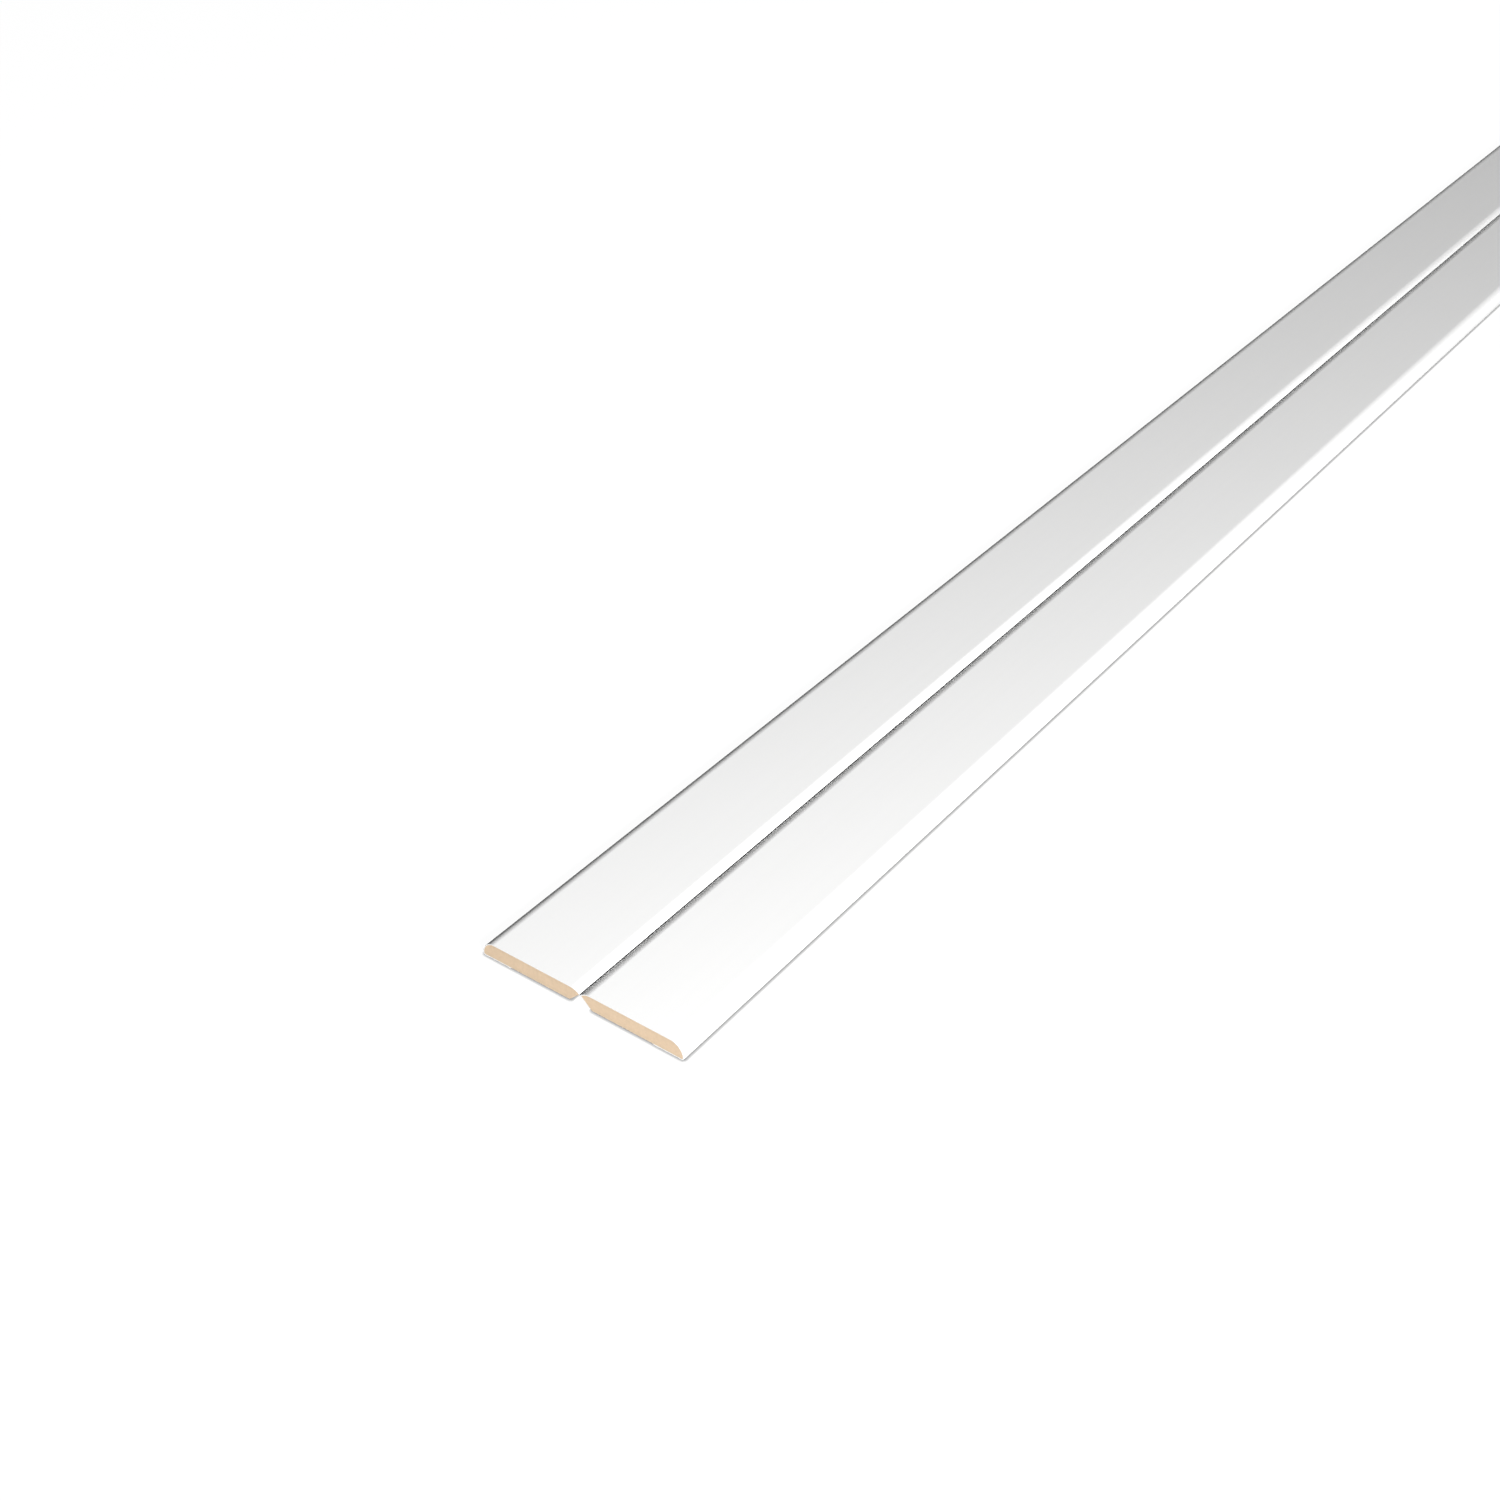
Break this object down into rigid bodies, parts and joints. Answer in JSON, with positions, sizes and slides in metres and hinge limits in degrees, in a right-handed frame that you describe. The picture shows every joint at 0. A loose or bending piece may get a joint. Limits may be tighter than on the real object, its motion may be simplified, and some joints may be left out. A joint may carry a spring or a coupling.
{
  "type": "folding wall panel corner trim",
  "caption": "Flat folding trim moulding: foil-wrapped MDF legs with rounded edges, hinged on the foil along a V-groove, to cover inner and outer corners of wall panels.",
  "frame": {"origin": "under the fold line, half way along the trim, on the plane its back lies on", "axes": "+X along the trim, +Y across it towards the left leg seen along +X, +Z from the back to the face"},
  "size_m": [2.4, 0.06, 0.0045],
  "materials": {
    "mdf": "raw MDF, sanded back, sawn ends",
    "white_foil": "smooth white wrapping foil, satin"
  },
  "bodies": {
    "left_leg": {"left_mdf_strip": "mdf", "left_face_foil": "white_foil"},
    "right_leg": {"right_mdf_strip": "mdf", "right_face_foil": "white_foil"}
  },
  "joints": [
    {"name": "fold", "type": "hinge", "parent": "left_leg", "child": "right_leg", "pos_m": [0, 0, 0.0034], "axis": [1, 0, 0], "range_deg": [-90, 90]}
  ]
}
